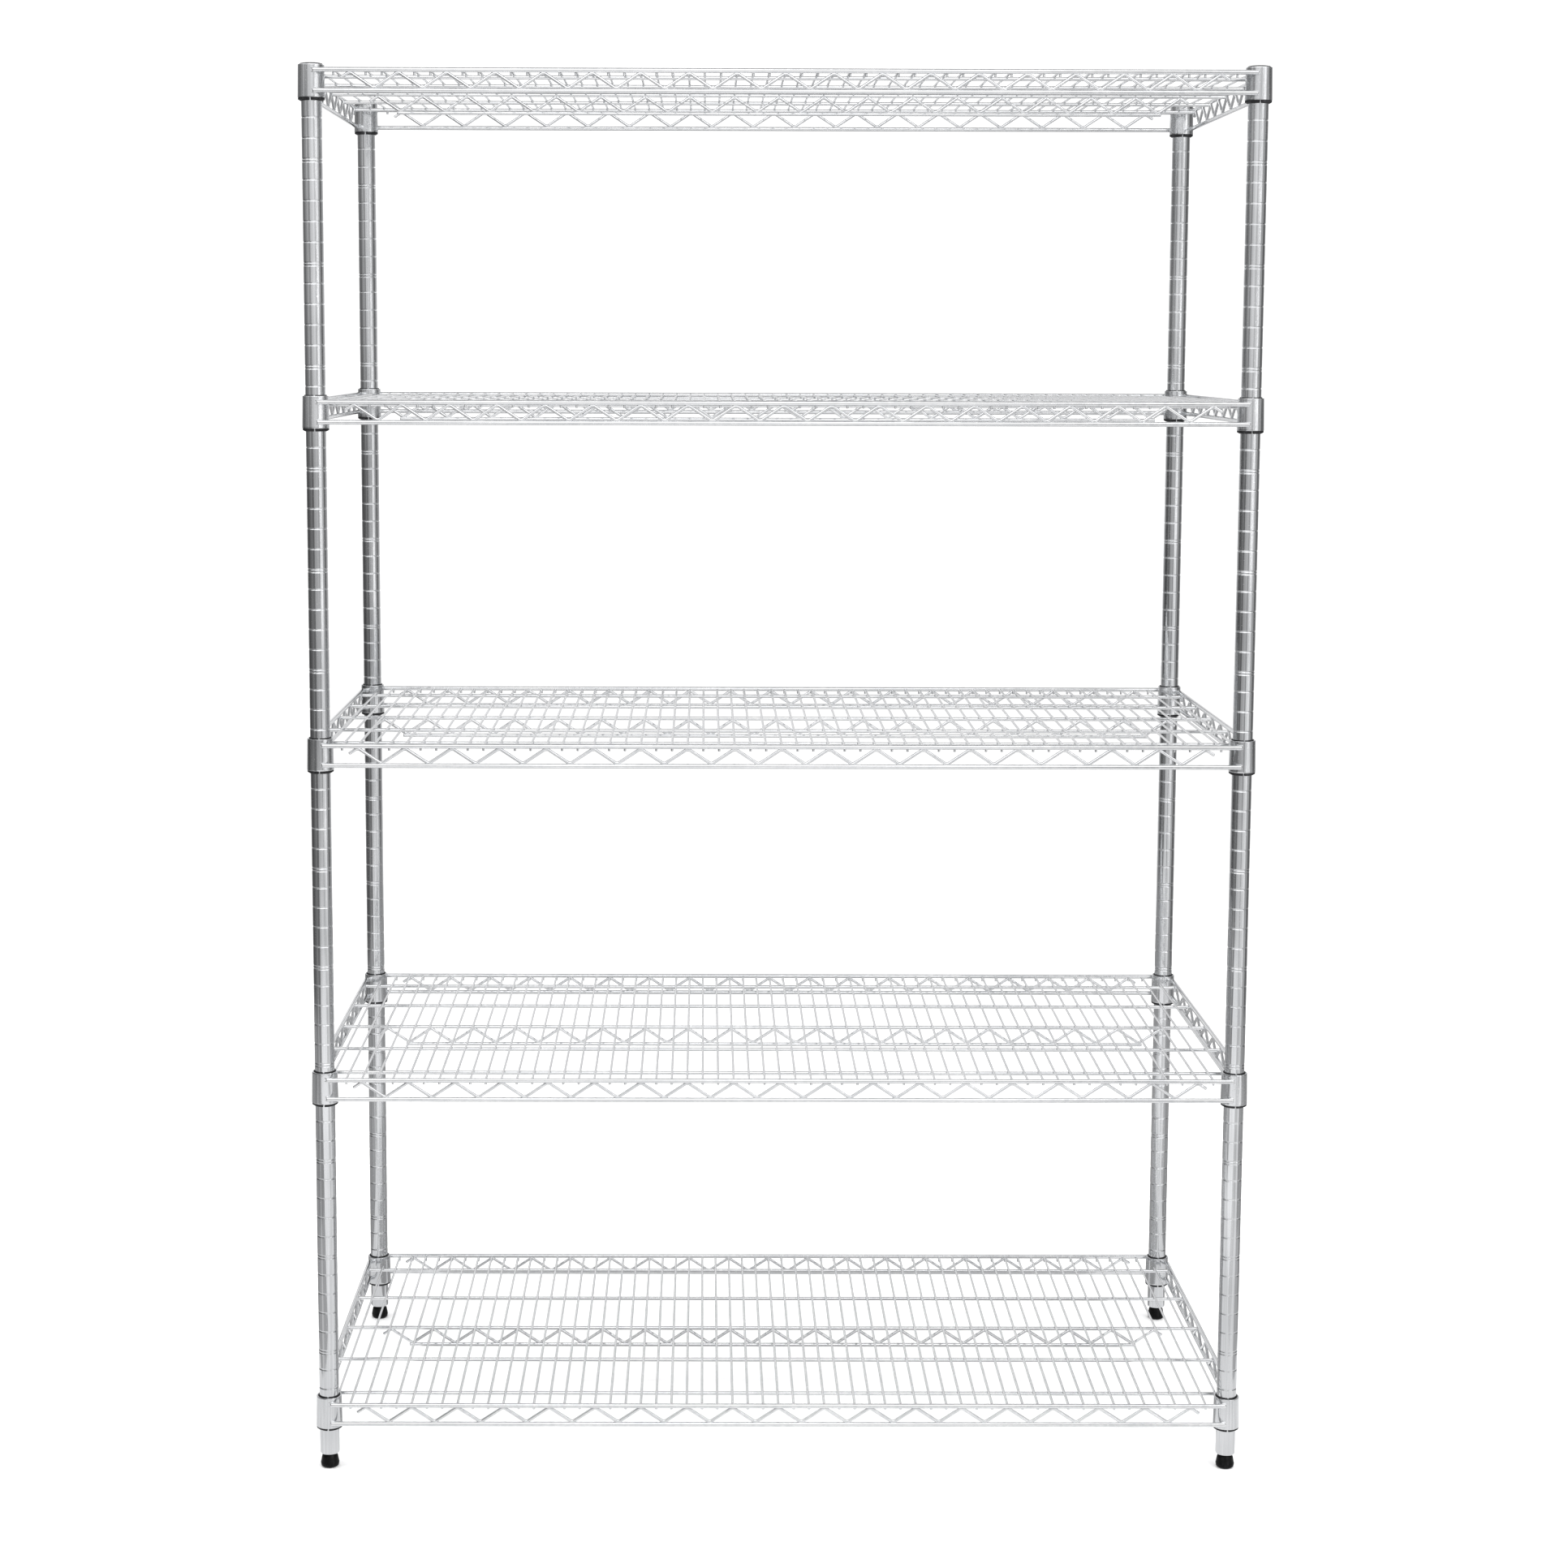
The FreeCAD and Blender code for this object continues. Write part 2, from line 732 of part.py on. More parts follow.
# ------------------------------------------------------------------ the rack

def make_rack():
    bodies = []
    for corner, (side_x, side_y) in CORNERS.items():
        bodies.append(make_post(f"post_{corner}", side_x, side_y))
        bodies.append(make_stem(f"foot_stem_{corner}", side_x, side_y))
        bodies.append(make_boot(f"foot_boot_{corner}", side_x, side_y))
    bodies.append(make_caps())
    bodies.append(make_inserts())
    for number, groove in enumerate(SHELF_GROOVES, start=1):
        level = dim.groove_first_z + dim.groove_pitch * groove
        shelf = f"shelf_{number}"
        bodies.append(make_sleeves(f"{shelf}_sleeves", level))
        bodies.append(make_collars(f"{shelf}_collars", level))
        bodies.append(make_rails(f"{shelf}_rails", level))
        bodies.append(make_face_truss(f"{shelf}_front_truss_wire", level, -1))
        bodies.append(make_face_truss(f"{shelf}_rear_truss_wire", level, 1))
        bodies.append(make_side_trusses(f"{shelf}_side_truss_wires", level))
        bodies.append(make_centre_truss(f"{shelf}_centre_truss_wire", level))
        bodies.append(make_runners(f"{shelf}_runners", level))
        bodies.append(make_mat_wires(f"{shelf}_mat_wires", level))
    return bodies


def check_document():
    for item in doc.Objects:
        if "Invalid" in item.State or "Error" in item.State:
            raise RuntimeError(f"{item.Label} did not compute: {item.State}")


def write_steps(bodies):
    os.makedirs("parts", exist_ok=True)
    for body in bodies:
        shape = body.Shape
        if shape.isNull() or not shape.isValid() or not shape.Solids:
            raise RuntimeError(f"{body.Label} is not a sound solid")
        shape.exportStep(f"parts/{body.Label}.step")
        print(f"{body.Label:28s} solids {len(shape.Solids):3d}  volume {shape.Volume:12.1f}")


rack = make_rack()
doc.recompute()
check_document()
write_steps(rack)
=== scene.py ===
import math

import bpy
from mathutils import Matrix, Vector


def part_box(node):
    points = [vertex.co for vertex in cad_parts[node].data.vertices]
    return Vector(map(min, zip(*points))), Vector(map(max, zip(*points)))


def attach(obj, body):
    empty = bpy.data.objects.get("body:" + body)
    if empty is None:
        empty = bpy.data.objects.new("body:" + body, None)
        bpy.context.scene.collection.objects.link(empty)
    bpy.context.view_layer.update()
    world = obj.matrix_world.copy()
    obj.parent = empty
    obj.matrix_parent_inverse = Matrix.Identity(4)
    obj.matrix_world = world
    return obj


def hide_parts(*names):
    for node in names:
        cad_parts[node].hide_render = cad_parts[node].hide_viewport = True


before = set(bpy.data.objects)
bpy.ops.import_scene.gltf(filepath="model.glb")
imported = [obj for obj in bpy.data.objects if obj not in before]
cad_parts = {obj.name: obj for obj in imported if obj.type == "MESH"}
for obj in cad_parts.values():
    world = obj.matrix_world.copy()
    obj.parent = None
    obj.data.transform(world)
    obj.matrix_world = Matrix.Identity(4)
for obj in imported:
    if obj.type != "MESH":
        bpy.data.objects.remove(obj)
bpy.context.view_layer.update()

# Sizes of the real pieces, in metres; places come from the boxes of the CAD nodes.
MM = 0.001
CORNERS = ("front_left", "front_right", "rear_left", "rear_right")
SHELVES = range(1, 6)

POST_RADIUS = 12.7 * MM
POST_WALL = 1.2 * MM
POST_BORE = POST_RADIUS - POST_WALL
POST_ROLL = 3.0 * MM
POST_MOUTH = 8.0 * MM
GROOVE_FIRST = 82.6 * MM
GROOVE_PITCH = 25.4 * MM
GROOVE_COUNT = 68
# A groove in section as (height, depth) in millimetres. The flat shoulders keep its shading off the wall.
GROOVE_SECTION = ((-1.55, 0.0), (-1.3, 0.0), (-1.0, 0.06), (-0.7, 0.25), (-0.3, 0.48), (0.0, 0.54),
                  (0.3, 0.48), (0.7, 0.25), (1.0, 0.06), (1.3, 0.0), (1.55, 0.0))
# Every fifth groove has a second one, its mark, just below it.
MARKS = range(3, 68, 5)
MARK_DROP = 3.6 * MM

CAP_EDGE = 1.7 * MM
CAP_PLUG = POST_BORE - 0.05 * MM

THREAD_PITCH = 1.5 * MM
THREAD_CREST = 4.7 * MM
THREAD_DEPTH = 0.75 * MM
THREAD_RUN_OUT = 1.2 * MM
FLANGE_RADIUS = 7.0 * MM
FLANGE_LOW = 14.8 * MM
FLANGE_HIGH = 17.6 * MM

# Radii that differ between the lower and the upper end are given as (low, high).
COLLAR_BORE = (15.2 * MM, 14.2 * MM)
COLLAR_WALL = (17.0 * MM, 16.25 * MM)
COLLAR_EDGE = 0.45 * MM
SLEEVE_BORE = 12.75 * MM
SLEEVE_CONE = (15.05 * MM, 14.05 * MM)
SLEEVE_CROWN = 1.2 * MM
SLEEVE_LIP = 16.6 * MM
SLEEVE_LIP_GAP = 0.1 * MM
SLEEVE_HALF_SLIT = 1.2 * MM

RAIL_RADIUS = 3.0 * MM
LONG_RAIL_END_GAP = 4.0 * MM
SIDE_RAIL_END_GAP = 10.3 * MM
# Weld beads above and below each rail end: height off the rail, distance in from its end and its flank, half sizes.
BEAD_LIFT = 2.1 * MM
LONG_BEAD_INSET = (1.5 * MM, 2.6 * MM)
LONG_BEAD_REACH = (4.2 * MM, 1.5 * MM, 1.3 * MM)
SIDE_BEAD_INSET = (-0.5 * MM, 2.0 * MM)
SIDE_BEAD_REACH = (1.5 * MM, 3.0 * MM, 1.3 * MM)

TRUSS_RADIUS = 2.0 * MM
TRUSS_PITCH = 59.5 * MM
TRUSS_HEIGHT = 17.7 * MM
TRUSS_BEND = 5.0 * MM
TRUSS_TAIL = (11.0 * MM, 2.62 * MM)
TRUSS_INSET = 0.9 * MM
LONG_WAVES = 18
SIDE_WAVES = 8
RUNNER_RADIUS = 2.5 * MM
RUNNER_PITCH = 123.5 * MM
RUNNERS = range(-2, 3)
CHORD_HALF = 510.0 * MM

MAT_RADIUS = 1.5 * MM
MAT_PITCH = 19.85 * MM
MAT_COUNT = 57
MAT_BEND = 3.0 * MM
MAT_HALF = 296.9 * MM
MAT_TIP = 6.5 * MM
SHORT_WIRE_HALF = 250.0 * MM

# The rounded end of a wire as (distance from the end, loss of radius), both as shares of the rounding. The last ring
# lies past the rounding, so that its shading stays off the straight part.
WIRE_END = ((0.0, 1.0), (0.06, 0.66), (0.3, 0.29), (0.65, 0.06), (1.0, 0.0), (1.5, 0.0))


# ------------------------------------------------------------------ mesh building

def swung(centre, radius, turn, height):
    """The point at a radius, a turn in radians and a height about the upright through centre."""
    return (centre[0] + radius * math.cos(turn), centre[1] + radius * math.sin(turn), height)


def turn_points(centre, radius, start, end, steps):
    """Points of an arc in (along, up), angles in degrees."""
    points = []
    for i in range(steps + 1):
        angle = math.radians(start + (end - start) * i / steps)
        points.append((centre[0] + radius * math.cos(angle), centre[1] + radius * math.sin(angle)))
    return points


class Mesh:
    """Vertices and faces of several closed surfaces, gathered for one piece."""

    def __init__(self):
        self.points = []
        self.faces = []

    def skin(self, rings, loop=False):
        """Closed surface over equal rings; loop joins the last ring to the first, else both ends are capped."""
        start = len(self.points)
        around = len(rings[0])
        for ring in rings:
            self.points.extend(ring)
        count = len(rings)
        for i in range(count if loop else count - 1):
            a = start + i * around
            b = start + (i + 1) % count * around
            for j in range(around):
                k = (j + 1) % around
                self.faces.append((a + j, a + k, b + k, b + j))
        if not loop:
            last = start + (count - 1) * around
            self.faces.append(tuple(start + j for j in reversed(range(around))))
            self.faces.append(tuple(last + j for j in range(around)))

    def lathe(self, centre, outline, segments=64):
        """A closed (radius, height) outline, anticlockwise, turned about the upright through centre."""
        rings = []
        for radius, height in outline:
            rings.append([swung(centre, radius, math.tau * j / segments, height) for j in range(segments)])
        self.skin(rings, loop=True)

    def half_shell(self, centre, outline, middle, half_slit, segments=36):
        """A closed (radius, height) outline turned nearly half way round, up to a parallel-sided slit."""
        rings = []
        for j in range(segments + 1):
            ring = []
            for radius, height in outline:
                reach = math.pi / 2 - math.asin(half_slit / radius)
                ring.append(swung(centre, radius, middle - reach * (2 * j / segments - 1), height))
            rings.append(ring)
        self.skin(rings)

    def wire(self, path, radius, across, segments=14, tip=0.35):
        """A round wire along a path in a plane square to across; tip is the rounding of its ends, in radii."""
        across = Vector(across)
        places = [Vector(place) for place in path]
        last = len(places) - 1
        stations = []
        for i, place in enumerate(places):
            ahead = (places[min(i + 1, last)] - places[max(i - 1, 0)]).normalized()
            stations.append((place, ahead, radius))

        def rounded(station, inward):
            place, ahead, size = station
            return [(place + ahead * tip * size * back * inward, ahead, size * (1 - tip * loss))
                    for back, loss in WIRE_END]

        rings = []
        for place, ahead, size in rounded(stations[0], 1) + stations[1:-1] + rounded(stations[-1], -1)[::-1]:
            side = ahead.cross(across)
            ring = []
            for j in range(segments):
                turn = math.tau * j / segments
                ring.append(tuple(place + side * (size * math.sin(turn)) + across * (size * math.cos(turn))))
            rings.append(ring)
        self.skin(rings)

    def rod(self, start, end, radius):
        """A straight level wire."""
        self.wire([start, end], radius, (0, 0, 1), segments=20, tip=0.4)

    def bead(self, centre, reach, around=12, rows=7):
        """A lump of weld: an ellipsoid with its half sizes in reach, flattened a little at top and bottom."""
        rings = []
        for i in range(rows):
            tilt = math.pi * (i + 0.35) / (rows - 0.3)
            ring = []
            for j in range(around):
                turn = math.tau * j / around
                ring.append((centre[0] + reach[0] * math.sin(tilt) * math.cos(turn),
                             centre[1] + reach[1] * math.sin(tilt) * math.sin(turn),
                             centre[2] - reach[2] * math.cos(tilt)))
            rings.append(ring)
        self.skin(rings)

    def piece(self, name, material, body, slot, *nodes, sharp=40):
        """Turns what was gathered into one object that rides on a body in place of CAD nodes."""
        data = bpy.data.meshes.new(name)
        data.from_pydata(self.points, [], self.faces)
        data.validate()
        data.polygons.foreach_set("use_smooth", [True] * len(data.polygons))
        data.set_sharp_from_angle(angle=math.radians(sharp))
        data.materials.append(material)
        obj = bpy.data.objects.new(name, data)
        bpy.context.scene.collection.objects.link(obj)
        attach(obj, body)
        if nodes:
            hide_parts(*nodes)
        return obj


# ------------------------------------------------------------------ materials

class Nodes:
    """A material under construction."""

    def __init__(self, name):
        self.material = bpy.data.materials.new(name)
        self.material.use_nodes = True
        self.tree = self.material.node_tree
        self.shader = self.tree.nodes["Principled BSDF"]
        self.place = self.add("ShaderNodeTexCoord").outputs["Object"]

    def add(self, kind, **settings):
        node = self.tree.nodes.new(kind)
        for key, value in settings.items():
            setattr(node, key, value)
        return node

    def link(self, source, target):
        self.tree.links.new(source, target)

    def noise(self, scale, stretch=(1, 1, 1), detail=3.0):
        """Noise over the piece; stretch holds the scale along each axis."""
        mapping = self.add("ShaderNodeMapping")
        mapping.inputs["Scale"].default_value = stretch
        texture = self.add("ShaderNodeTexNoise")
        texture.inputs["Scale"].default_value = scale
        texture.inputs["Detail"].default_value = detail
        self.link(self.place, mapping.inputs["Vector"])
        self.link(mapping.outputs["Vector"], texture.inputs["Vector"])
        return texture.outputs["Fac"]

    def spread(self, source, low, high, start=0.35, end=0.65):
        """A noise value between start and end, carried to the range from low to high."""
        spread = self.add("ShaderNodeMapRange")
        spread.inputs["From Min"].default_value = start
        spread.inputs["From Max"].default_value = end
        spread.inputs["To Min"].default_value = low
        spread.inputs["To Max"].default_value = high
        self.link(source, spread.inputs["Value"])
        return spread.outputs["Result"]

    def combine(self, first, second, operation="ADD"):
        combine = self.add("ShaderNodeMath", operation=operation)
        self.link(first, combine.inputs[0])
        self.link(second, combine.inputs[1])
        return combine.outputs["Value"]

    def scaled(self, source, number, operation="MULTIPLY"):
        scaled = self.add("ShaderNodeMath", operation=operation)
        scaled.inputs[1].default_value = number
        self.link(source, scaled.inputs[0])
        return scaled.outputs["Value"]

    def tint(self, fac, dark, light):
        """The base colour, running from dark to light with fac."""
        mix = self.add("ShaderNodeMix", data_type="RGBA")
        mix.inputs["A"].default_value = (*dark, 1)
        mix.inputs["B"].default_value = (*light, 1)
        self.link(fac, mix.inputs["Factor"])
        self.link(mix.outputs["Result"], self.shader.inputs["Base Color"])

    def relief(self, height, strength, distance):
        bump = self.add("ShaderNodeBump")
        bump.inputs["Strength"].default_value = strength
        bump.inputs["Distance"].default_value = distance
        self.link(height, bump.inputs["Height"])
        self.link(bump.outputs["Normal"], self.shader.inputs["Normal"])


def chrome(name, dark, light, rough, grain, relief):
    """Bright plate: drawing lines along the grain, cloudier patches, and small dull specks."""
    look = Nodes(name)
    look.shader.inputs["Metallic"].default_value = 1.0
    lines = look.noise(1.0, grain, detail=4.0)
    patches = look.noise(9.0, detail=2.0)
    specks = look.noise(620.0, detail=1.0)
    look.tint(look.spread(look.combine(lines, patches, "MULTIPLY"), 0.0, 1.0, 0.15, 0.36), dark, light)
    dull = look.spread(specks, 0.0, 0.16, 0.66, 0.74)
    base = look.combine(look.spread(lines, *rough), look.spread(patches, 0.0, 0.03))
    look.link(look.combine(base, dull), look.shader.inputs["Roughness"])
    look.relief(lines, relief, 0.0002)
    return look.material


def moulded(name, dark, light, rough, grain):
    """Moulded black plastic: fine spark-eroded grain, greyer scuffs, and uneven gloss."""
    look = Nodes(name)
    scuffs = look.noise(160.0, (1, 1, 0.35), detail=5.0)
    gloss = look.noise(35.0, detail=2.0)
    look.tint(look.spread(scuffs, 0.0, 1.0, 0.5, 0.72), dark, light)
    look.link(look.combine(look.spread(gloss, *rough), look.spread(scuffs, 0.0, 0.12, 0.5, 0.7)),
              look.shader.inputs["Roughness"])
    look.relief(look.noise(2600.0, detail=2.0), grain, 0.0001)
    look.shader.inputs["Specular IOR Level"].default_value = 0.12
    return look.material


def plated_steel(name, dark, light, rough, grain):
    """Zinc plate on a turned part: spangle, turning rings and a dull sheen."""
    look = Nodes(name)
    look.shader.inputs["Metallic"].default_value = 1.0
    rings = look.noise(1.0, (60, 60, 2200), detail=2.0)
    spangle = look.noise(420.0, detail=3.0)
    look.tint(look.spread(spangle, 0.0, 1.0), dark, light)
    look.link(look.combine(look.spread(rings, *rough), look.spread(spangle, 0.0, 0.1)),
              look.shader.inputs["Roughness"])
    look.relief(rings, grain, 0.0002)
    return look.material


def matte(name, dark, light, rough):
    """Plain paper with faint clouds."""
    look = Nodes(name)
    look.tint(look.spread(look.noise(2.2, detail=4.0), 0.0, 1.0), dark, light)
    look.shader.inputs["Roughness"].default_value = rough
    return look.material


post_chrome = chrome("post_chrome", dark=(0.66, 0.67, 0.68), light=(0.80, 0.81, 0.82),
                     rough=(0.05, 0.13), grain=(420, 420, 5), relief=0.12)
collar_chrome = chrome("collar_chrome", dark=(0.64, 0.65, 0.66), light=(0.82, 0.83, 0.84),
                       rough=(0.09, 0.2), grain=(520, 520, 9), relief=0.3)
wire_chrome = chrome("wire_chrome", dark=(0.80, 0.81, 0.82), light=(0.90, 0.905, 0.91),
                     rough=(0.06, 0.14), grain=(150, 150, 150), relief=0.06)
black_plastic = moulded("black_plastic", dark=(0.012, 0.012, 0.013), light=(0.034, 0.034, 0.036),
                        rough=(0.36, 0.5), grain=0.25)
foot_plastic = moulded("foot_plastic", dark=(0.002, 0.002, 0.0022), light=(0.009, 0.009, 0.0095),
                       rough=(0.24, 0.36), grain=0.12)
zinc = plated_steel("zinc_plate", dark=(0.46, 0.465, 0.47), light=(0.70, 0.70, 0.69),
                    rough=(0.16, 0.3), grain=0.15)


# ------------------------------------------------------------------ posts, caps and feet

def centre_of(node):
    low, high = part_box(node)
    return ((low[0] + high[0]) / 2, (low[1] + high[1]) / 2)


def recolour(node, material):
    """Gives a CAD node that is shown as it is its own material."""
    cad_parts[node].data.materials.clear()
    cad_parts[node].data.materials.append(material)


def post_outline(foot, top):
    """The wall of a post in section: rolled-in lower end, a rolled groove every inch, plain bore."""
    outline = [(POST_MOUTH + 0.3 * MM, foot)]
    outline += turn_points((POST_RADIUS - POST_ROLL, foot + POST_ROLL), POST_ROLL, -90, 0, 7)
    outline.append((POST_RADIUS, foot + POST_ROLL + 0.6 * MM))
    heights = [GROOVE_FIRST + GROOVE_PITCH * i for i in range(GROOVE_COUNT)]
    heights += [GROOVE_FIRST + GROOVE_PITCH * i - MARK_DROP for i in MARKS]
    for height in sorted(heights):
        outline += [(POST_RADIUS - depth * MM, height + offset * MM) for offset, depth in GROOVE_SECTION]
    outline += [(POST_RADIUS, top - 1.0 * MM), (POST_RADIUS, top - 0.4 * MM), (POST_RADIUS - 0.3 * MM, top)]
    outline += [(POST_BORE, top), (POST_BORE, foot + POST_WALL + 1.5 * MM)]
    outline += [(POST_BORE - 1.0 * MM, foot + POST_WALL), (POST_MOUTH, foot + POST_WALL)]
    outline.append((POST_MOUTH, foot + 0.3 * MM))
    return outline


def cap_outline(low, seat, high):
    """A post cap in section: a shallow dome on the end of the post, with a plug down inside it."""
    hole = 0.6 * MM
    return [
        (POST_RADIUS - 0.6 * MM, seat),
        (POST_RADIUS, seat + 0.3 * MM),
        *turn_points((POST_RADIUS - CAP_EDGE, high - 2.0 * MM), CAP_EDGE, 0, 76, 6),
        (POST_RADIUS * 0.55, high - 0.1 * MM),
        (hole, high),
        (hole, low),
        (CAP_PLUG - 0.8 * MM, low),
        (CAP_PLUG, low + 0.8 * MM),
        (CAP_PLUG, seat),
    ]


def flange_outline():
    """The flange of a stem in section, from inside the stem outwards."""
    root = THREAD_CREST - 1.2 * MM
    return [
        (root, FLANGE_LOW),
        (FLANGE_RADIUS - 0.3 * MM, FLANGE_LOW),
        (FLANGE_RADIUS, FLANGE_LOW + 0.3 * MM),
        (FLANGE_RADIUS, FLANGE_HIGH - 0.8 * MM),
        (FLANGE_RADIUS - 0.2 * MM, FLANGE_HIGH - 0.4 * MM),
        (FLANGE_RADIUS - 1.2 * MM, FLANGE_HIGH),
        (root, FLANGE_HIGH),
    ]


def thread_rings(centre, low, high, segments=40, steps=10):
    """Rings up a stem whose thread winds round it as one helix and runs out towards both ends."""
    count = int((high - low) / THREAD_PITCH * steps)
    rings = []
    for i in range(count + 1):
        height = low + (high - low) * i / count
        fade = min(1.0, (height - low) / THREAD_RUN_OUT + 0.25, (high - height) / THREAD_RUN_OUT + 0.25)
        ring = []
        for j in range(segments):
            wave = (height / THREAD_PITCH - j / segments) % 1.0
            cut = THREAD_DEPTH * max(0.0, 1 - abs(wave - 0.5) * 2.3)
            radius = (THREAD_CREST - cut) * (0.72 + 0.28 * fade)
            ring.append(swung(centre, radius, math.tau * j / segments, height))
        rings.append(ring)
    return rings


cap_low, cap_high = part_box("post_caps")
caps = Mesh()
for corner in CORNERS:
    post_low, post_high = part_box(f"post_{corner}")
    centre = centre_of(f"post_{corner}")
    post = Mesh()
    post.lathe(centre, post_outline(post_low[2], post_high[2]), segments=72)
    post.piece(f"post_tube_{corner}", post_chrome, "frame", "chrome_post", f"post_{corner}", sharp=60)

    stem_low, stem_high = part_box(f"foot_stem_{corner}")
    stem = Mesh()
    stem.skin(thread_rings(centre, stem_low[2], stem_high[2]))
    stem.lathe(centre, flange_outline(), segments=48)
    stem.piece(f"stem_{corner}", zinc, f"stem_{corner}", "zinc_steel", f"foot_stem_{corner}", sharp=35)
    recolour(f"foot_boot_{corner}", foot_plastic)

    caps.lathe(centre, cap_outline(cap_low[2], post_high[2], cap_high[2]), segments=56)
caps.piece("caps", black_plastic, "frame", "black_plastic", "post_caps")
recolour("foot_inserts", zinc)


# ------------------------------------------------------------------ shelves

def collar_outline(low, high):
    """A pressed collar in section, its edges broken and its wall tapering upwards."""
    bore_low, bore_high = COLLAR_BORE
    wall_low, wall_high = COLLAR_WALL
    return [
        (bore_low + 0.2 * MM, low),
        (wall_low - COLLAR_EDGE, low),
        (wall_low - COLLAR_EDGE * 0.3, low + COLLAR_EDGE * 0.3),
        (wall_low, low + COLLAR_EDGE),
        (wall_low - 0.05 * MM, low + 2.2 * MM),
        (wall_high + 0.02 * MM, high - COLLAR_EDGE - 0.9 * MM),
        (wall_high, high - COLLAR_EDGE),
        (wall_high - COLLAR_EDGE * 0.3, high - COLLAR_EDGE * 0.3),
        (wall_high - COLLAR_EDGE, high),
        (bore_high + 0.3 * MM, high),
        (bore_high, high - 0.3 * MM),
        (bore_low, low + 0.2 * MM),
    ]


def sleeve_outline(low, high, collar_low):
    """Half of a split sleeve in section: lip with a bevelled toe, cone inside the collar, thin crown."""
    lip_top = collar_low - SLEEVE_LIP_GAP
    cone_low, cone_high = SLEEVE_CONE
    return [
        (SLEEVE_BORE, low),
        (13.7 * MM, low),
        (13.95 * MM, low + 0.1 * MM),
        (16.3 * MM, lip_top - 2.15 * MM),
        (SLEEVE_LIP, lip_top - 1.85 * MM),
        (SLEEVE_LIP, lip_top - 0.3 * MM),
        (SLEEVE_LIP - 0.3 * MM, lip_top),
        (cone_low, lip_top),
        (cone_high, high - SLEEVE_CROWN),
        (cone_high, high - 0.25 * MM),
        (cone_high - 0.25 * MM, high),
        (SLEEVE_BORE, high),
    ]


def zigzag_line(waves):
    """The centre line of a zigzag wire as (along, up), crest to crest, with a loose end at each side."""
    rise = TRUSS_HEIGHT - 2 * TRUSS_BEND
    run = TRUSS_PITCH / 2
    slope = math.degrees(math.atan2(rise, run) + math.asin(2 * TRUSS_BEND / math.hypot(rise, run)))
    half = TRUSS_PITCH * waves / 2
    high = TRUSS_HEIGHT / 2 - TRUSS_BEND
    line = [(-half - TRUSS_TAIL[0], TRUSS_TAIL[1])]
    for i in range(waves * 2 + 1):
        along = -half + run * i
        if i % 2 == 0:
            line += turn_points((along, high), TRUSS_BEND, 90 + slope, 90 - slope, 6)
        else:
            line += turn_points((along, -high), TRUSS_BEND, 270 - slope, 270 + slope, 6)
    line.append((half + TRUSS_TAIL[0], TRUSS_TAIL[1]))
    return line


def mat_line():
    """The centre line of a shelf wire as (along, up), both ends turned down."""
    straight = MAT_HALF - MAT_BEND
    return [
        (-MAT_HALF, -MAT_TIP),
        *turn_points((-straight, -MAT_BEND), MAT_BEND, 180, 90, 5),
        *turn_points((straight, -MAT_BEND), MAT_BEND, 90, 0, 5),
        (MAT_HALF, -MAT_TIP),
    ]


long_line = zigzag_line(LONG_WAVES)
side_line = zigzag_line(SIDE_WAVES)
post_x, post_y = centre_of("post_rear_right")

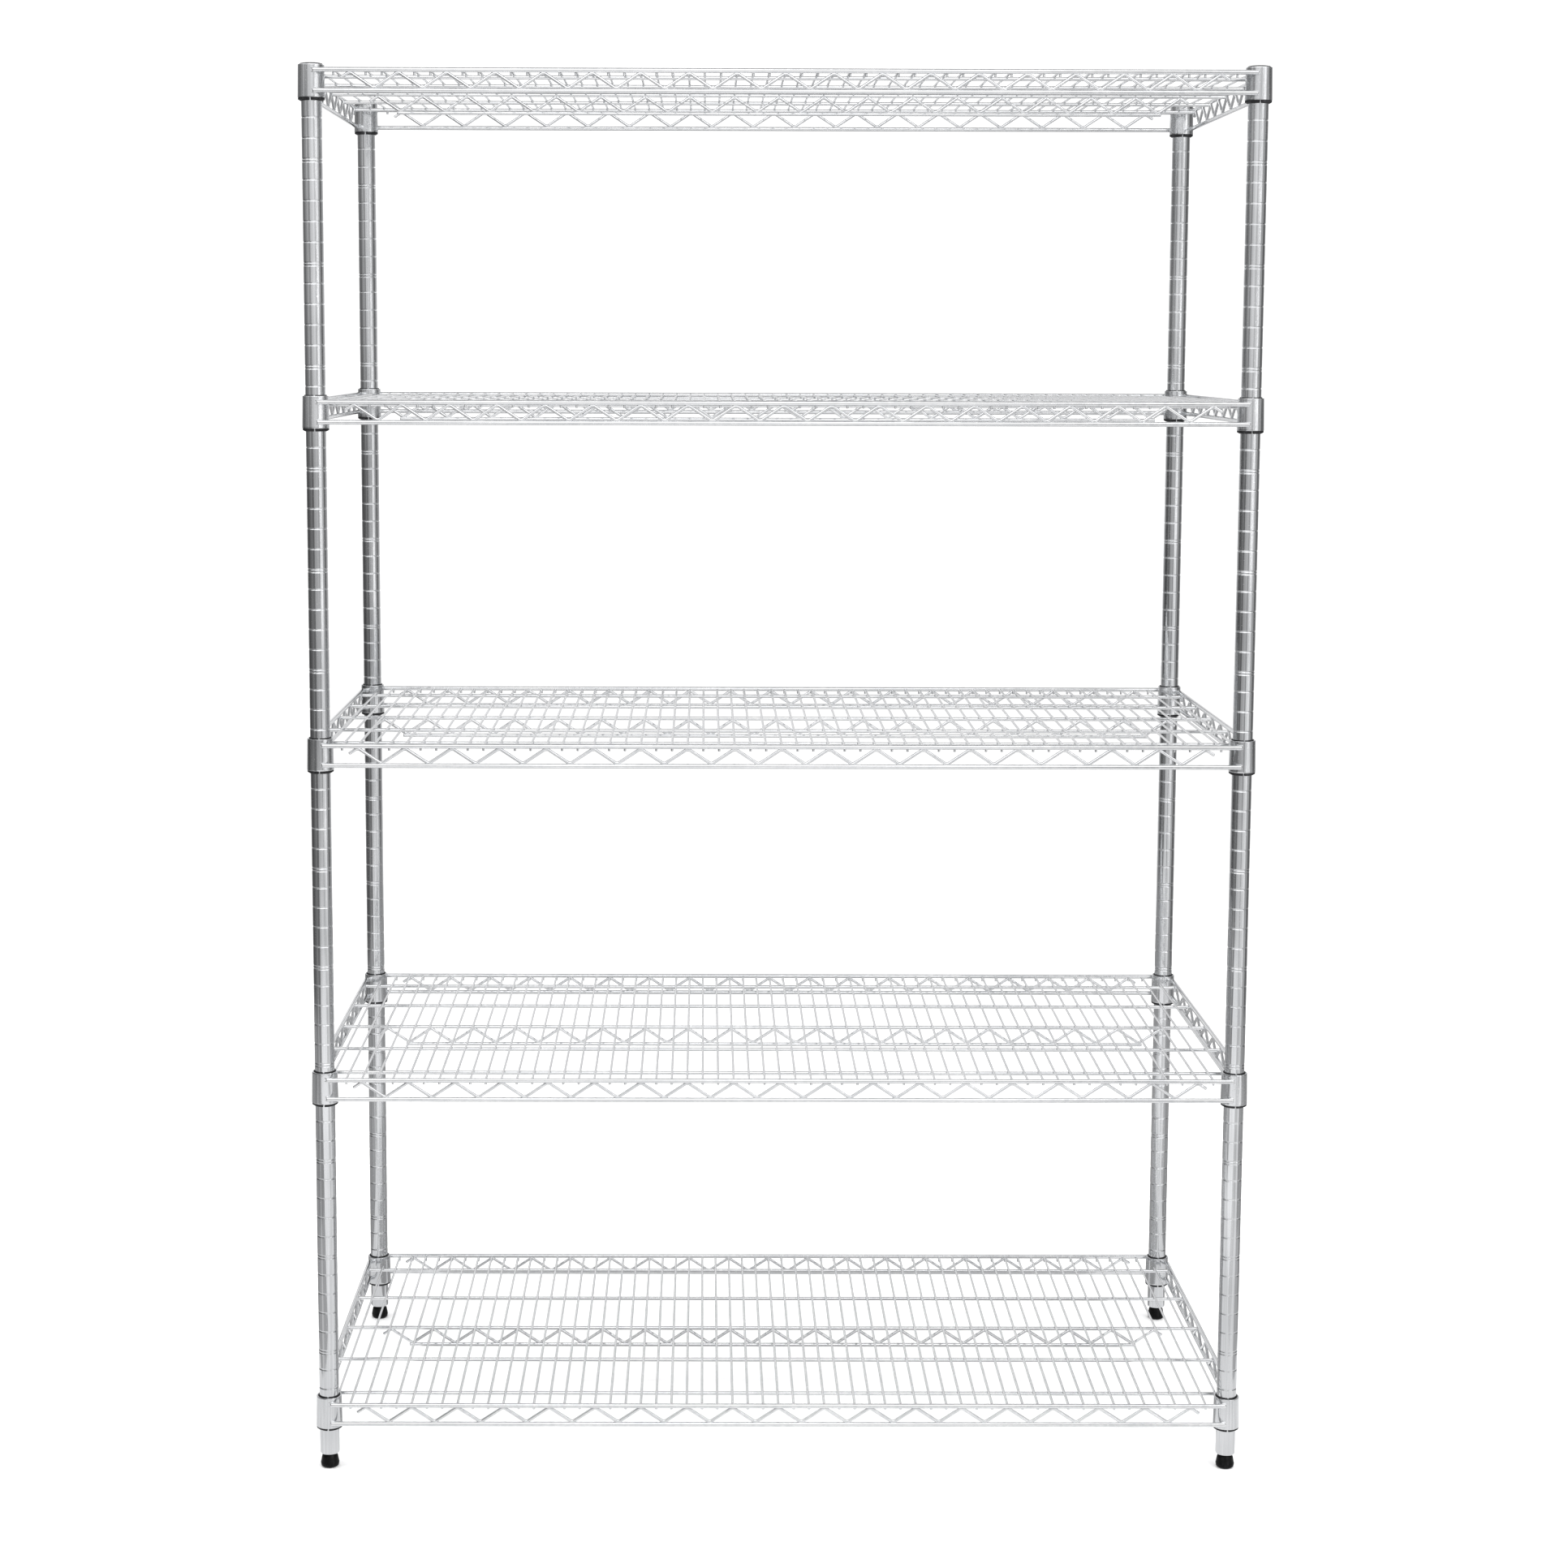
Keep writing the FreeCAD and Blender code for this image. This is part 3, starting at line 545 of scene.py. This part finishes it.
for number in SHELVES:
    shelf = f"shelf_{number}"
    collars_low, collars_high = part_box(f"{shelf}_collars")
    sleeves_low, sleeves_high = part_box(f"{shelf}_sleeves")
    collars = Mesh()
    sleeves = Mesh()
    for corner in CORNERS:
        centre = centre_of(f"post_{corner}")
        collars.lathe(centre, collar_outline(collars_low[2], collars_high[2]), segments=72)
        for facing in (0, math.pi):
            sleeves.half_shell(centre, sleeve_outline(sleeves_low[2], sleeves_high[2], collars_low[2]),
                               facing, SLEEVE_HALF_SLIT)
    collars.piece(f"{shelf}_collar_set", collar_chrome, shelf, "chrome_collar", f"{shelf}_collars")
    sleeves.piece(f"{shelf}_sleeve_set", black_plastic, "frame", "black_plastic", f"{shelf}_sleeves")

    rails_low, rails_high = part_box(f"{shelf}_rails")
    reach_x, reach_y, top = (edge - RAIL_RADIUS for edge in rails_high)
    bottom = rails_low[2] + RAIL_RADIUS
    end_x = post_x - LONG_RAIL_END_GAP
    end_y = post_y - SIDE_RAIL_END_GAP
    rails = Mesh()
    for level in (top, bottom):
        for side in (-1, 1):
            rails.rod((-end_x, reach_y * side, level), (end_x, reach_y * side, level), RAIL_RADIUS)
            rails.rod((reach_x * side, -end_y, level), (reach_x * side, end_y, level), RAIL_RADIUS)
            for end in (-1, 1):
                for lift in (-1, 1):
                    height = level + BEAD_LIFT * lift
                    rails.bead(((end_x - LONG_BEAD_INSET[0]) * end, (reach_y - LONG_BEAD_INSET[1]) * side, height),
                               LONG_BEAD_REACH)
                    rails.bead(((reach_x - SIDE_BEAD_INSET[1]) * side, (end_y - SIDE_BEAD_INSET[0]) * end, height),
                               SIDE_BEAD_REACH)
    rails.piece(f"{shelf}_rail_set", wire_chrome, shelf, "chrome_wire", f"{shelf}_rails")

    middle = (top + bottom) / 2
    face = reach_y - TRUSS_INSET
    for name, depth in (("front", -face), ("rear", face)):
        truss = Mesh()
        truss.wire([(along, depth, middle + up) for along, up in long_line], TRUSS_RADIUS, (0, 1, 0))
        truss.piece(f"{shelf}_{name}_zigzag", wire_chrome, shelf, "chrome_wire", f"{shelf}_{name}_truss_wire")
    sides = Mesh()
    for side in (-1, 1):
        flank = (reach_x - TRUSS_INSET) * side
        sides.wire([(flank, along, middle + up) for along, up in side_line], TRUSS_RADIUS, (1, 0, 0))
    sides.piece(f"{shelf}_side_zigzags", wire_chrome, shelf, "chrome_wire", f"{shelf}_side_truss_wires")

    runners_low, runners_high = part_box(f"{shelf}_runners")
    runner_level = runners_high[2] - RUNNER_RADIUS
    chord_level = runners_low[2] + RUNNER_RADIUS
    runners = Mesh()
    for i in RUNNERS:
        depth = RUNNER_PITCH * i
        runners.rod((runners_low[0], depth, runner_level), (runners_high[0], depth, runner_level), RUNNER_RADIUS)
    runners.rod((-CHORD_HALF, 0, chord_level), (CHORD_HALF, 0, chord_level), RUNNER_RADIUS)
    runners.piece(f"{shelf}_runner_set", wire_chrome, shelf, "chrome_wire", f"{shelf}_runners")
    centre_level = (runner_level + chord_level) / 2
    truss = Mesh()
    truss.wire([(along, 0, centre_level + up) for along, up in long_line], TRUSS_RADIUS, (0, 1, 0))
    truss.piece(f"{shelf}_centre_zigzag", wire_chrome, shelf, "chrome_wire", f"{shelf}_centre_truss_wire")

    mat = Mesh()
    for i in range(MAT_COUNT):
        across = MAT_PITCH * (i - (MAT_COUNT - 1) / 2)
        mat.wire([(across, along, top + up) for along, up in mat_line()], MAT_RADIUS, (1, 0, 0), segments=12)
    for side in (-1, 1):
        across = MAT_PITCH * (MAT_COUNT + 1) / 2 * side
        mat.rod((across, -SHORT_WIRE_HALF, top), (across, SHORT_WIRE_HALF, top), MAT_RADIUS)
    mat.piece(f"{shelf}_mat", wire_chrome, shelf, "chrome_wire", f"{shelf}_mat_wires")


# ------------------------------------------------------------------ studio

# The chrome shows a made-up studio: upright screens in a ring, boards above, and lighter and darker ground. All of
# it is seen only in reflections, and its greys are set against the tones in the photograph.
RING = 3.2
RING_TOP = 3.4
FLOOR_MID = 1.7
FLOOR_NEAR = 1.0
# Light up a screen, as (height, share of its grey). PEAK is the highest share.
PEAK = 4.0
EVEN = ((0.0, 1.0), (2.7, 1.0), (2.85, 2.8), (3.4, 2.8))
DIM_SIDE = ((0.0, 0.5), (0.35, 0.45), (0.7, 0.4), (1.15, 0.42), (1.5, 0.9), (2.7, 1.0), (2.85, 4.0), (3.4, 4.0))
DIM_FRONT = ((0.0, 0.85), (0.3, 0.65), (0.5, 0.5), (1.2, 0.52), (1.5, 0.85), (2.7, 0.9), (2.85, 2.4), (3.4, 2.4))
# Screens as (first angle, last angle, grey, light up it), in degrees from the front towards the right.
SCREENS = (
    (-180, -150, 0.8, EVEN), (-150, -120, 0.3, EVEN), (-120, -84, 0.2, DIM_SIDE), (-84, -64, 0.34, DIM_SIDE),
    (-64, -56, 0.6, DIM_SIDE), (-56, -33, 0.38, DIM_SIDE), (-33, -22, 0.8, DIM_FRONT), (-22, -12, 0.85, DIM_FRONT),
    (-12, 12, 1.0, DIM_FRONT), (12, 20, 0.65, DIM_FRONT), (20, 43, 0.74, EVEN), (43, 60, 0.9, EVEN),
    (60, 84, 0.45, EVEN), (84, 118, 0.16, EVEN), (118, 150, 0.42, EVEN), (150, 180, 0.7, EVEN),
)
# Level sheets as (name, low corner, high corner, height, grey): the ceiling, and the ground round the rack.
BOARDS = (
    ("board_back", (-3.2, -0.6), (3.2, 3.2), RING_TOP, 0.32),
    ("board_middle", (-3.2, -2.3), (3.2, -0.6), RING_TOP, 1.0),
    ("board_front", (-3.2, -3.2), (3.2, -2.3), RING_TOP, 2.4),
    ("floor_near", (-1.2, -1.2), (1.2, 0.3), 0.0002, 0.87),
    ("floor_behind", (-1.2, 0.3), (1.2, 1.2), 0.0002, 0.4),
    ("floor_under", (-0.5, -0.2), (0.5, 0.25), 0.0006, 0.4),
)
SECTOR_HEIGHT = 0.0004


def panel(name, corners, material):
    """A flat four-cornered sheet that belongs to the studio."""
    data = bpy.data.meshes.new(name)
    data.from_pydata(corners, [], [(0, 1, 2, 3)])
    data.materials.append(material)
    obj = bpy.data.objects.new(name, data)
    bpy.context.scene.collection.objects.link(obj)
    return obj


def glow(name, grey, heights=None):
    """Even light, or light that follows a list of (height, share) up the screen."""
    look = Nodes(name)
    emission = look.add("ShaderNodeEmission")
    emission.inputs["Color"].default_value = (grey, grey, grey * 1.01, 1)
    if heights:
        split = look.add("ShaderNodeSeparateXYZ")
        look.link(look.place, split.inputs["Vector"])
        curve = look.add("ShaderNodeFloatCurve")
        look.link(look.scaled(split.outputs["Z"], RING_TOP, "DIVIDE"), curve.inputs["Value"])
        points = curve.mapping.curves[0].points
        while len(points) < len(heights):
            points.new(0.5, 0.5)
        for point, (height, share) in zip(points, heights):
            # The curve ends at 1, so the shares are kept below it and brought back up after it.
            point.location = (height / RING_TOP, share / PEAK)
            point.handle_type = "VECTOR"
        curve.mapping.update()
        look.link(look.scaled(curve.outputs["Value"], PEAK), emission.inputs["Strength"])
    look.link(emission.outputs["Emission"], look.tree.nodes["Material Output"].inputs["Surface"])
    return look.material


def reflected(name, corners, grey, heights=None):
    """A glowing sheet seen only in reflections."""
    sheet = panel(name, corners, glow(name, grey, heights))
    sheet.visible_camera = False
    sheet.visible_diffuse = False
    sheet.visible_shadow = False
    sheet.visible_transmission = False


def about(angle, reach, height):
    """The point at an angle from the front towards the right, and at a distance from the middle."""
    turn = math.radians(angle)
    return (reach * math.sin(turn), -reach * math.cos(turn), height)


def floor_sector(name, start, end, near, far, grey):
    """A wedge of the floor between two distances from the middle."""
    places = ((start, near), (start, far), (end, far), (end, near))
    reflected(name, [about(angle, reach, SECTOR_HEIGHT) for angle, reach in places], grey)


def floor_greys(start, screen_grey):
    """Greys of the far and the middle ground under a screen: white in front, dark behind, else after the screen's."""
    if -33 <= start < 20:
        return 1.0, 1.0
    if start < -84 or start >= 84:
        return 0.35, 0.35
    return screen_grey * 0.85, screen_grey * 0.8 + 0.15


def softbox(name, place, target, width, height, power):
    data = bpy.data.lights.new(name, "AREA")
    data.shape = "RECTANGLE"
    data.size = width
    data.size_y = height
    data.energy = power
    obj = bpy.data.objects.new(name, data)
    obj.location = place
    obj.rotation_euler = (Vector(target) - Vector(place)).to_track_quat("-Z", "Y").to_euler()
    bpy.context.scene.collection.objects.link(obj)


scene = bpy.context.scene
world = bpy.data.worlds.new("studio")
scene.world = world
world.use_nodes = True
world.node_tree.nodes["Background"].inputs["Color"].default_value = (1.0, 1.0, 1.0, 1)
world.node_tree.nodes["Background"].inputs["Strength"].default_value = 1.2

panel("floor", [(-9, -9, 0), (9, -9, 0), (9, 9, 0), (-9, 9, 0)],
      matte("floor_paper", dark=(0.8471, 0.8471, 0.8471), light=(0.86, 0.86, 0.86), rough=0.9))
for index, (start, end, grey, heights) in enumerate(SCREENS):
    places = ((start, 0.0), (end, 0.0), (end, RING_TOP), (start, RING_TOP))
    reflected(f"screen_{index}", [about(angle, RING, height) for angle, height in places], grey, heights)
    far_grey, mid_grey = floor_greys(start, grey)
    floor_sector(f"floor_far_{index}", start, end, FLOOR_MID, RING, far_grey)
    floor_sector(f"floor_mid_{index}", start, end, FLOOR_NEAR, FLOOR_MID, mid_grey)
for name, low, high, level, grey in BOARDS:
    corners = [(low[0], low[1], level), (high[0], low[1], level), (high[0], high[1], level), (low[0], high[1], level)]
    reflected(name, corners, grey)
softbox("overhead", (0, -0.4, 4.2), (0, 0, 0), width=4.0, height=3.0, power=160)
softbox("right_strip", (2.6, -3.0, 1.6), (0, 0, 1.1), width=0.5, height=2.6, power=60)
scene.view_settings.view_transform = "Standard"


# ------------------------------------------------------------------ camera

# Fitted to the posts and collars in the photograph, except that it looks down a little where the photograph has a
# strong downward shift; otherwise the other views would lose the top of the rack.
camera_data = bpy.data.cameras.new("camera")
camera_data.sensor_width = 36.0
camera_data.lens = 64.46
camera_data.shift_x = 0.044
camera_data.shift_y = -0.07
camera = bpy.data.objects.new("camera", camera_data)
camera.location = (-0.099, -3.810, 1.455)
camera.rotation_euler = (math.radians(90) - 0.1165, -0.0027, -0.0037)
scene.collection.objects.link(camera)
scene.camera = camera
